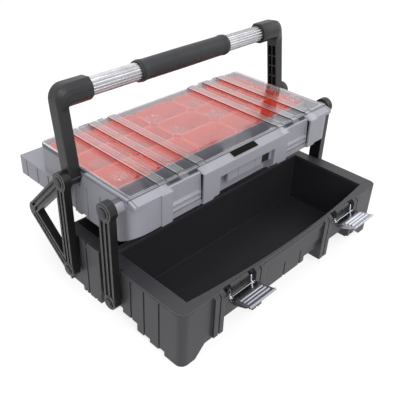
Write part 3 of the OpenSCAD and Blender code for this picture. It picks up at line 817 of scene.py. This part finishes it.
@dataclass
class Bins:
    """The lift-out bins, moulded with rounded corners and a rolled lip.

    Attributes:
        rows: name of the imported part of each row.
        columns: bins in a row.
        wall: thickness of the walls in metres.
        corner: outer corner radius in metres.
        lip: how far the lip stands out in metres.
        gap: space between two bins in metres.
        foot: rounding of the outer foot in metres.
        floor_round: rounding from the wall to the floor inside, in metres.
        steps: points on each corner.
    """

    rows: tuple[str, ...] = ("bins_front", "bins_middle", "bins_rear")
    columns: int = 5
    wall: float = 1.8 * MM
    corner: float = 13.0 * MM
    lip: float = 1.2 * MM
    gap: float = 0.6 * MM
    foot: float = 4 * MM
    floor_round: float = 26.0 * MM
    steps: int = 8

    def profile(self, height: float) -> np.ndarray:
        """The wall's profile, from under the floor over the lip to the floor inside.

        Args:
            height: height of the bin.

        Returns:
            Lines of inset from the outer face of the lip and height.
        """
        lip, wall, arc = self.lip, self.wall, self.floor_round
        turn = np.linspace(0.0, math.pi / 2, 7)
        outer = np.stack([lip + self.foot * (1 - np.sin(turn)), self.foot * (1 - np.cos(turn))], -1)
        edge = np.array([[lip, height - 6 * MM], [lip * 0.6, height - 5 * MM], [0.0, height - 4.4 * MM],
                         [0.0, height - 0.8 * MM], [0.3 * MM, height - 0.2 * MM], [0.9 * MM, height],
                         [lip + wall - 0.7 * MM, height], [lip + wall, height - 0.8 * MM]])
        inner = np.stack([lip + wall + arc * (1 - np.cos(turn)), wall + arc * (1 - np.sin(turn))], -1)
        return np.concatenate([outer, edge, inner])

    def ring(self, half: np.ndarray, inset: float, height: float) -> np.ndarray:
        """One ring of a bin: its outline moved in by the inset, at a height.

        Args:
            half: half of the bin's width and depth.
            inset: how far the ring lies inside the lip's outer face.
            height: height of the ring.

        Returns:
            The ring's points.
        """
        radius = max(self.corner - inset, 1.5 * MM) + max(0.0, inset - 3 * MM) * 0.6
        plan = rounded_ring(half[0] - inset, half[1] - inset, radius, self.steps)
        return np.column_stack([plan, np.full(len(plan), height)])

    def build(self) -> None:
        """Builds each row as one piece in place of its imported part."""
        for name in self.rows:
            low, high = (np.array(v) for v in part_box(name))
            pitch = (high[0] - low[0] + self.gap) / self.columns
            half = np.array([pitch - self.gap, high[1] - low[1]]) / 2
            line = self.profile(high[2] - low[2])
            one = np.concatenate([self.ring(half, inset, low[2] + z) for inset, z in line])
            own = tube_faces(len(line), 4 * self.steps)
            middle = (low[1] + high[1]) / 2
            points, faces = joined([(one + [low[0] + half[0] + i * pitch, middle, 0.0], own)
                                    for i in range(self.columns)])
            piece = new_piece(name + "_moulded", points, faces, Finish.RED, "organizer")
            sharpen(piece, 40)
            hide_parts(name)


@dataclass
class Organizer:
    """The grey organizer with its badge plate, all sizes in millimetres.

    Attributes:
        bins: the bins that stand in it.
        wall: lowest and highest corner of the wall in front of the bins.
        pit: lowest and highest corner of the dark sheet that paints shade into the right notch.
        recess: inner and outer end of each catch recess, its front and back, its foot and top; dark sheets
            at its ends paint shade.
        badge: foot of the badge's slope, and half of the badge's width and height.
        badge_up: distance from the foot up the slope to the badge's middle.
        badge_turn: slope of the badge in degrees.
        badge_corner: radius of the badge's corners.
    """

    bins: Bins = field(default_factory=Bins)
    wall: Corners = ((-246.6, 29.2, 213.5), (246.6, 32.0, 233.5))
    pit: Corners = ((46.4, -24.0, 190.4), (67.6, -13.2, 210.6))
    recess: tuple[float, ...] = (112.0, 182.0, -29.6, -15.2, 185.6, 232.8)
    badge: Corners = ((-3.0, -30.0, 234.0), (33.0, 7.4))
    badge_up: float = 9.0
    badge_turn: float = 19.44
    badge_corner: float = 3.0

    def badge_plate(self) -> None:
        """Builds the bare badge: a round cornered plate with a domed top inside a pale rim.

        Both are stacks of rings: each ring is the badge's outline, moved in by
        an inset and raised by a height, and the stack is then laid on the slope.
        """
        (x, y, z), (half_x, half_y) = self.badge
        turn = math.radians(self.badge_turn)
        tilt = np.array([[1, 0, 0], [0, math.cos(turn), -math.sin(turn)],
                         [0, math.sin(turn), math.cos(turn)]])
        steps = 6
        count = 4 * steps

        def rings(sizes: Sequence[tuple[float, float]]) -> np.ndarray:
            """Rings of the plate: its inset and height at each."""
            made = []
            for inset, height in sizes:
                corner = max(self.badge_corner - inset, 0.8)
                plan = rounded_ring(half_x - inset, half_y - inset, corner, steps)
                made.append(np.column_stack([plan, np.full(count, height)]))
            return (np.concatenate(made) + [0, self.badge_up, 0]) @ tilt.T + [x, y, z]

        dome = [(0.7, 0.2), (0.7, 1.2), (0.9, 1.35), (1.6, 1.5), (3.0, 1.6), (5.0, 1.65)]
        piece = new_piece("badge_plate_domed", rings(dome) * MM, tube_faces(len(dome), count),
                          Finish.BADGE, "organizer")
        sharpen(piece, 40)
        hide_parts("badge_plate")
        rim = [(0.0, 0.0), (0.0, 1.3), (0.2, 1.45), (0.6, 1.45), (0.75, 1.3), (0.75, 0.0)]
        new_piece("badge_rim", rings(rim) * MM, grid_faces(len(rim), count, True, True),
                  Finish.TRIM, "organizer")

    def build(self) -> None:
        """Dresses the organizer and builds its bins, their front wall, the badge, and dark sheets that paint
        shade into the right notch and the catch recesses.
        """
        dress(Finish.GREY, "organizer", "pivot_bosses")
        dress(Finish.STEEL, "lid_hinge_pins")
        self.badge_plate()
        # The notch sheet is painted shade: a dark sheet where the notch lies in shade.
        for name, corners, finish in (("bin_front_wall", self.wall, Finish.GREY),
                                      ("notch_painted_shade", self.pit, Finish.PIT)):
            points, faces = slab(*corners)
            new_piece(name, points * MM, faces, finish, "organizer", smooth=False)
        # Painted shade: dark sheets at both ends of each catch recess.
        inner, outer, front, back, foot, top = self.recess
        points, faces = joined([slab((x, front, foot), (x + 0.6, back, top))
                                for x in (inner + 0.1, outer - 0.7, -inner - 0.7, -outer + 0.1)])
        new_piece("recess_painted_shades", points * MM, faces, Finish.PIT, "organizer",
                  smooth=False)
        self.bins.build()


@dataclass
class Lid:
    """The clear lid with its catches.

    Attributes:
        marks: middles of the moulded round marks.
        rings: radius of each ring of a mark, and how many dashes it has.
        dash: length, width and height of one dash.
        top: height of the flat top.
        outer_from: how far out a mark counts as an outer one.
        outer_reach: largest ring of an outer mark.
    """

    marks: tuple[tuple[float, float], ...] = (
        (-50, 96), (-50, 159), (50, 98), (50, 160), (-226, 98), (-226, 44), (226, 98), (226, 44))
    rings: tuple[tuple[float, int], ...] = ((4.0, 5), (8.2, 9), (12.4, 13), (16.6, 18))
    dash: tuple[float, float, float] = (2.2, 1.2, 0.35)
    top: float = 243.6
    outer_from: float = 200.0
    outer_reach: float = 13.0

    def round_marks(self) -> None:
        """Builds the round marks: rings of short raised dashes, each turned along its ring."""
        length, width, rise = self.dash
        box, faces = slab((-length / 2, -width / 2, -0.05), (length / 2, width / 2, rise))
        parts = []
        for x, y in self.marks:
            for radius, count in self.rings:
                if abs(x) > self.outer_from and radius > self.outer_reach:
                    continue
                angle = np.arange(count) * 2 * math.pi / count
                along = np.stack([-np.sin(angle), np.cos(angle)], -1)
                out = np.stack([np.cos(angle), np.sin(angle)], -1)
                flat = out[:, None, :] * (radius + box[None, :, 1:2]) + along[:, None, :] * box[None, :, 0:1]
                height = np.broadcast_to(box[None, :, 2:3] + self.top, (count, len(box), 1))
                parts += [(spot, faces) for spot in np.concatenate([flat + [x, y], height], -1)]
        points, all_faces = joined(parts)
        new_piece("lid_marks", points * MM, all_faces, Finish.FROSTED, "lid", smooth=False)

    def build(self) -> None:
        """Dresses the lid and adds its marks."""
        dress(Finish.CLEAR, "lid")
        dress(Finish.CATCH, "lid_catches")
        self.round_marks()


@dataclass
class Handle:
    """The folding carry handle, with all sizes in millimetres.

    It is worked out upright over its pivot, then leaned back.

    Attributes:
        lean: backward lean in degrees.
        reach: distance from the pivot to the tube's axis.
        inner: place of the arm's inner face.
        outer: place of the arm's outer face.
        depth: depth of the arm.
        bend: outer radius of the elbow.
        crook: inner radius of the elbow.
        sleeve: half of the sleeve's height.
        sleeve_end: where the sleeve ends.
        tube: radius of the tube.
        flutes: flutes round the tube.
        flute: depth of a flute.
        grip: radius of the grip.
        grip_length: length of the grip.
        pocket: lower and upper end of the hollow in the arm's inner side.
        pocket_depth: depth of the hollow.
        pocket_ribs: ribs across the hollow.
        rib_half: half of the thickness of those ribs.
        sleeve_corner: angle in degrees from its top at which the sleeve takes the arm's corner.
    """

    lean: float = 7.7
    reach: float = 134.0
    inner: float = 251.8
    outer: float = 272.5
    depth: float = 24.0
    bend: float = 24.0
    crook: float = 4.0
    sleeve: float = 19.0
    sleeve_end: float = 207.0
    tube: float = 15.5
    flutes: int = 18
    flute: float = 1.05
    grip: float = 18.5
    grip_length: float = 208.0
    pocket: tuple[float, float] = (17.0, 100.0)
    pocket_depth: float = 13.0
    pocket_ribs: int = 3
    rib_half: float = 0.9
    sleeve_corner: float = 27.9

    def placed(self, points: np.ndarray) -> np.ndarray:
        """Leans upright points back and moves them to the pivot.

        Args:
            points: points in millimetres, upright, with the pivot at the origin.

        Returns:
            The points in metres, in place.
        """
        lean = math.radians(self.lean)
        turn = np.array([[1, 0, 0], [0, math.cos(lean), math.sin(lean)],
                         [0, -math.sin(lean), math.cos(lean)]])
        return points @ turn.T * MM + joint_place("handle_fold") * [0, 1, 1]

    def arm_section(self, groove: float) -> np.ndarray:
        """The arm's cross-section: a crisp rectangle, hollow on its inner side.

        Args:
            groove: share of the hollow's depth, from 0 to 1.

        Returns:
            Points of share of the thickness, outwards, and depth, backwards, against the clock.
        """
        thick, half, r = self.outer - self.inner, self.depth / 2, 1.2
        turn = np.linspace(0.0, math.pi / 2, 4)
        middles = ((thick - r, half - r), (r, half - r), (r, r - half), (thick - r, r - half))
        arcs = [np.stack([at + r * np.cos(turn + k * math.pi / 2),
                          deep + r * np.sin(turn + k * math.pi / 2)], -1)
                for k, (at, deep) in enumerate(middles)]
        across, along = np.linspace(r - half, half - r, 9)[1:-1], np.linspace(thick - r, r, 7)[1:-1]
        mouth = half - 2.4
        floor = np.stack([np.full(7, groove * self.pocket_depth),
                          np.linspace(mouth - 0.6, 0.6 - mouth, 7)], -1)
        points = np.concatenate([
            np.stack([np.full(7, thick), across], -1), arcs[0],
            np.stack([along, np.full(5, half)], -1), arcs[1],
            [[0.0, mouth]], floor, [[0.0, -mouth]], arcs[2],
            np.stack([along[::-1], np.full(5, -half)], -1), arcs[3]])
        return points / [thick, 1.0]

    def sleeve_section(self, flow: np.ndarray) -> np.ndarray:
        """The sleeve's cross-section: a polygon with a broad flat top and soft corners.

        The radius at angle t is the sum over the sides of (cos(t - a) / d) to the
        power of n, to the power of -1 / n, where a side lies at the distance d in
        the direction a.

        Args:
            flow: angle of each point from the top.

        Returns:
            Points of share of the height and of depth.
        """
        turn = np.radians([0, 50, 95, 138, 180, -138, -95, -50])
        away = np.array([1.0, 1.045, 1.0, 1.0, 1.0, 1.0, 1.0, 1.045]) * self.sleeve
        near = np.maximum(0.0, np.cos(flow[:, None] - turn[None, :])) / away
        radius = (near ** 48).sum(axis=1) ** (-1 / 48)
        return np.stack([0.5 + radius * np.cos(flow) / (2 * self.sleeve), radius * np.sin(flow)], -1)

    def elbow(self, angle: np.ndarray) -> tuple[np.ndarray, np.ndarray]:
        """Inner and outer points of the elbow, seen from the front.

        A ray at each angle leaves the middle of the tight inner corner. It ends on
        a box with one round corner: on its side where tan of the angle is small
        enough, else on the circle, where its length l solves |l ray - middle| = radius.

        Args:
            angle: angle of each ray, from sideways to straight up.

        Returns:
            The inner points and the outer points.
        """
        ray = np.stack([np.cos(angle), np.sin(angle)], -1)
        start = np.array([self.inner - self.crook, self.reach - self.sleeve - self.crook])
        size = np.array([self.outer, self.reach + self.sleeve]) - start
        middle = size - self.bend
        side = np.min(size / np.maximum(ray, 1e-6), axis=1)
        along = ray @ middle
        arc = along + np.sqrt(np.maximum(along ** 2 - middle @ middle + self.bend ** 2, 0.0))
        end = ray * side[:, None]
        round_part = (end > middle).all(axis=1)
        length = np.where(round_part, arc, side)
        return start + ray * self.crook, start + ray * length[:, None]

    def arm(self, side: int) -> None:
        """Builds one arm: its section is carried up, round the elbow and along the sleeve.

        The section's points lie between the inner and the outer point of each
        ring. It turns from the arm's into the sleeve's with a smooth step.

        Args:
            side: -1 for the left arm, 1 for the right one.
        """
        name = "handle_arm_left" if side < 0 else "handle_arm_right"
        low, high = self.pocket
        crook_x, crook_z = self.inner - self.crook, self.reach - self.sleeve - self.crook
        rise = np.array([0.0, low - 0.6, low, high, high + 0.6, crook_z - 10, crook_z - 5])
        inner, outer = self.elbow(np.linspace(0.0, math.pi / 2, 19))
        end = self.sleeve_end
        run = np.array([(crook_x + end) / 2, end + 1.4, end + 0.4, end])
        inner = np.concatenate([np.stack([np.full(7, self.inner), rise], -1), inner,
                                np.stack([run, np.full(4, self.reach - self.sleeve)], -1)])
        outer = np.concatenate([np.stack([np.full(7, self.outer), rise], -1), outer,
                                np.stack([run, np.full(4, self.reach + self.sleeve)], -1)])
        change = np.concatenate([np.zeros(5), ease(np.linspace(0.0, 1.0, 21)), np.ones(4)])
        groove = np.array([0, 0, 1, 1, 0] + [0] * 25)
        plain = self.arm_section(0.0)
        flow = np.arctan2(plain[:, 1] / (self.depth / 2), plain[:, 0] * 2 - 1)
        turn, corner = np.abs(flow), math.radians(self.sleeve_corner)
        beyond = corner + (turn - math.pi / 4) * (math.pi - corner) / (0.75 * math.pi)
        flow = np.sign(flow) * np.where(turn < math.pi / 4, turn * corner / (math.pi / 4), beyond)
        last, rings = self.sleeve_section(flow), []
        for k, share in enumerate(change):
            part = self.arm_section(float(groove[k])) * (1 - share) + last * share
            shrink = {len(change) - 2: 0.985, len(change) - 1: 0.945}.get(k, 1.0)
            part = (part - [0.5, 0.0]) * shrink + [0.5, 0.0]
            spot = inner[k] + (outer[k] - inner[k]) * part[:, :1]
            rings.append(np.stack([spot[:, 0], part[:, 1], spot[:, 1]], -1))
        arm = np.concatenate(rings), tube_faces(len(rings), len(flow))
        half = self.depth / 2
        hub_radius = np.array([5.4, half - 1.0, half + 0.2, half + 0.2, half - 0.8, 8.0, 7.6, 5.4])
        hub_at = np.array([self.inner, self.inner, self.inner + 1.2, self.outer - 1.0, self.outer,
                           self.outer, self.outer - 0.8, self.outer - 0.8])
        hub = turned(hub_radius, hub_at, 48), tube_faces(8, 48)
        parts, mouth = [arm, hub], half - 2.8
        near, deep = self.inner + 0.8, self.inner + self.pocket_depth + 0.5
        for z in np.linspace(low, high, self.pocket_ribs + 2)[1:-1]:
            parts.append(slab((near, -mouth, z - self.rib_half), (deep, mouth, z + self.rib_half)))
        parts.append(slab((near, -0.8, low), (deep, 0.8, high)))
        points, faces = joined(parts)
        points = self.placed(points * [side, 1, 1])
        if side < 0:
            faces = [face[::-1] for face in faces]
        piece = new_piece(name + "_moulded", points, faces, Finish.BLACK, "handle")
        sharpen(piece, 17)
        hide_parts(name)

    def fluted_tube(self) -> None:
        """Builds the tube: its radius dips in narrow flutes round the axis."""
        columns = self.flutes * 8
        angle = np.linspace(0.0, 2 * math.pi, columns, endpoint=False)
        wave = -self.flute / self.tube * (0.5 + 0.5 * np.cos(self.flutes * angle)) ** 2
        end = self.inner - 8.0
        along = np.array([-end, -end + 1.0, end - 1.0, end])
        radii = np.array([self.tube - 1.0, self.tube, self.tube, self.tube - 1.0])
        points = self.placed(turned(radii, along, columns, wave) + [0, 0, self.reach])
        piece = new_piece("handle_tube_fluted", points, [f[::-1] for f in tube_faces(4, columns)],
                          Finish.ALUMINIUM, "handle")
        sharpen(piece, 40)
        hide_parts("handle_tube")

    def soft_grip(self) -> None:
        """Builds the grip: a turned rubber sleeve with end beads and two fine rings."""
        half = self.grip_length / 2
        right = np.array([
            [0.0, 0.0], [10.0, 0.0], [24.0, -0.05], [26.0, -0.1], [26.6, -0.7], [27.4, -0.7], [28.0, -0.1],
            [60.0, -0.2], [half - 16, -0.3], [half - 9, 0.0], [half - 6, 0.7], [half - 3, 0.95],
            [half - 1.0, 0.6], [half, -0.6], [half, -2.4]])
        profile = np.concatenate([right[:0:-1] * [-1, 1], right])
        columns = 96
        angle = np.linspace(0.0, 2 * math.pi, columns, endpoint=False)
        wave = -0.016 * (0.5 + 0.5 * np.cos(2 * angle)) ** 6 - 0.022 * (np.abs(np.sin(angle / 2)) > 0.999)
        points = turned(profile[:, 1] + self.grip, profile[:, 0], columns, wave) + [0, 0, self.reach]
        piece = new_piece("handle_grip_soft", self.placed(points),
                          [f[::-1] for f in tube_faces(len(profile), columns)],
                          Finish.RUBBER, "handle")
        sharpen(piece, 40)
        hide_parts("handle_grip")

    def build(self) -> None:
        """Builds the arms, the tube and the grip."""
        dress(Finish.BLACK, "handle_rings")
        self.arm(-1)
        self.arm(1)
        self.fluted_tube()
        self.soft_grip()


@dataclass
class Latches:
    """The two front draw latches, all sizes in millimetres.

    Attributes:
        place: distance of each latch from the middle plane.
        barrel: place across and height of the hinge barrel's axis, and its radius.
        knuckles: knuckles along the barrel, and the length of one.
    """

    place: float = 147.0
    barrel: tuple[float, float, float] = (-148.4, 107.0, 3.8)
    knuckles: tuple[int, float] = (5, 8.4)

    def build(self) -> None:
        """Dresses the latches and builds the barrels of their hinges."""
        dress(Finish.STEEL, "bail_left", "bail_right")
        dress(Finish.LEVER, "lever_left", "lever_right")
        dress(Finish.PIT, "latch_plate_left", "latch_plate_right", "plate_screws")
        y, z, radius = self.barrel
        count, length = self.knuckles
        start = (np.arange(count) - count / 2) * length
        at = np.stack([start + 0.2, start + 0.5, start + length - 0.5, start + length - 0.2], -1).ravel()
        radii = np.tile([radius - 1.2, radius, radius, radius - 1.2], count)
        columns = 20
        one = turned(radii, at, columns) + [0, y, z]
        faces = [f[::-1] for f in tube_faces(len(at), columns)]
        for side, name in ((-1, "left"), (1, "right")):
            shift = [side * self.place, 0, 0]
            piece = new_piece("latch_barrel_" + name, (one + shift) * MM, faces,
                              Finish.CHARCOAL, "tub")
            sharpen(piece, 35)


# -------------------------------------------------------------------- studio
@dataclass
class Studio:
    """Floor, lamps, world and camera.

    Attributes:
        azimuth: direction of the view in degrees.
        elevation: height of the view in degrees.
        roll: turn of the picture in degrees.
        place: the camera's place in metres.
        focal: focal length in widths of the picture.
        centre: the lens axis in the picture, from its middle, in widths.
        world_level: brightness of the even light from all round.
        floor_glow: brightness that the floor shows of its own.
        floor_reach: half of the floor's width in metres.
    """

    azimuth: float = -46.947
    elevation: float = 33.583
    roll: float = 2.443
    place: tuple[float, float, float] = (-0.69051, -0.56677, 0.71355)
    focal: float = 1.43301
    centre: tuple[float, float] = (0.00201, -0.00658)
    world_level: float = 0.37
    floor_glow: float = 0.80
    floor_reach: float = 14.0

    def camera(self) -> None:
        """Places the camera."""
        az, el, roll = (math.radians(v) for v in (self.azimuth, self.elevation, self.roll))
        ahead = Vector((math.sin(-az) * math.cos(el), math.cos(az) * math.cos(el), -math.sin(el)))
        right = ahead.cross(Vector((0.0, 0.0, 1.0))).normalized()
        up = right.cross(ahead)
        right, up = (math.cos(roll) * right + math.sin(roll) * up,
                     math.cos(roll) * up - math.sin(roll) * right)
        data = bpy.data.cameras.new("camera")
        data.sensor_width = 36.0
        data.lens = self.focal * data.sensor_width
        data.shift_x = -self.centre[0]
        data.shift_y = self.centre[1]
        data.clip_start = 0.01
        camera = bpy.data.objects.new("camera", data)
        turn = Matrix((right, up, -ahead)).transposed().to_4x4()
        camera.matrix_world = Matrix.Translation(self.place) @ turn
        bpy.context.scene.collection.objects.link(camera)
        bpy.context.scene.camera = camera

    def lamp(self, name: str, place: Sequence[float], size: float, level: float,
             aim: Sequence[float] = (0.0, 0.05, 0.15)) -> None:
        """Adds a soft square lamp.

        Args:
            name: its name.
            place: where it hangs, in metres.
            size: length of its side in metres.
            level: brightness that it alone gives a white face turned to it.
            aim: the point it is turned to.
        """
        data = bpy.data.lights.new(name, "AREA")
        way = Vector(aim) - Vector(place)
        data.size = size
        data.energy = level * math.pi ** 2 * way.length_squared
        lamp = bpy.data.objects.new(name, data)
        lamp.location = place
        lamp.rotation_euler = way.to_track_quat("-Z", "Y").to_euler()
        bpy.context.scene.collection.objects.link(lamp)

    def seen(self, graph: Graph) -> Value:
        """1 for what the eye, a mirror or clear plastic sees, else 0."""
        path = graph.node("ShaderNodeLightPath")
        seen = graph.value(path.outputs["Is Camera Ray"]) + graph.value(path.outputs["Is Glossy Ray"])
        return (seen + graph.value(path.outputs["Is Transmission Ray"])).held()

    def floor(self) -> None:
        """Lays the pale floor, which keeps a soft shadow."""
        corners = np.array([[-1, -1, 0], [1, -1, 0], [1, 1, 0], [-1, 1, 0]]) * self.floor_reach
        mesh = bpy.data.meshes.new("floor")
        mesh.from_pydata((corners - [0, 0, 0.2 * MM]).tolist(), [], [[0, 1, 2, 3]])
        graph = Graph("pale_floor")
        matt = graph.node("ShaderNodeBsdfDiffuse", None, {"Color": (0.32, 0.32, 0.32)})
        glow = graph.node("ShaderNodeEmission", None, {
            "Color": (1.0, 1.0, 1.0), "Strength": self.seen(graph) * self.floor_glow})
        mesh.materials.append(graph.surface(graph.node("ShaderNodeAddShader", None, {
            0: matt.outputs[0], 1: glow.outputs[0]})))
        floor = bpy.data.objects.new("floor", mesh)
        bpy.context.scene.collection.objects.link(floor)

    def world(self) -> None:
        """Sets the even light from all round."""
        world = bpy.data.worlds.new("studio")
        bpy.context.scene.world = world
        world.use_nodes = True
        tree = world.node_tree
        tree.nodes.clear()
        path = tree.nodes.new("ShaderNodeLightPath")
        most = path.outputs["Is Camera Ray"]
        for name in ("Is Glossy Ray", "Is Transmission Ray"):
            larger = tree.nodes.new("ShaderNodeMath")
            larger.operation = "MAXIMUM"
            tree.links.new(most, larger.inputs[0])
            tree.links.new(path.outputs[name], larger.inputs[1])
            most = larger.outputs[0]
        level = tree.nodes.new("ShaderNodeMapRange")
        level.inputs["To Min"].default_value = self.world_level
        level.inputs["To Max"].default_value = 1.0
        tree.links.new(most, level.inputs["Value"])
        background = tree.nodes.new("ShaderNodeBackground")
        background.inputs["Color"].default_value = (1.0, 1.0, 1.0, 1.0)
        tree.links.new(level.outputs[0], background.inputs["Strength"])
        output = tree.nodes.new("ShaderNodeOutputWorld")
        tree.links.new(background.outputs[0], output.inputs[0])

    def build(self) -> None:
        """Sets up the whole studio."""
        bpy.context.scene.view_settings.view_transform = "Standard"
        self.camera()
        self.floor()
        self.world()
        self.lamp("key_lamp", (-0.9, -2.2, 2.2), 1.6, 0.46)
        self.lamp("fill_lamp", (2.4, -1.0, 1.6), 1.8, 0.16)
        self.lamp("side_lamp", (-2.6, 0.5, 1.3), 1.4, 0.13)
        self.lamp("top_lamp", (0.2, 0.4, 2.6), 2.0, 0.32)


def main() -> None:
    """Builds and dresses the tool box, part by part."""
    logging.basicConfig(level=logging.INFO, format="%(name)s: %(message)s")
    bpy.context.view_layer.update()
    for part in (Studio(), Tub(), Linkage(), Organizer(), Lid(), Handle(), Latches()):
        part.build()
        LOG.info("%s done", type(part).__name__)


if __name__ == "__main__":
    main()
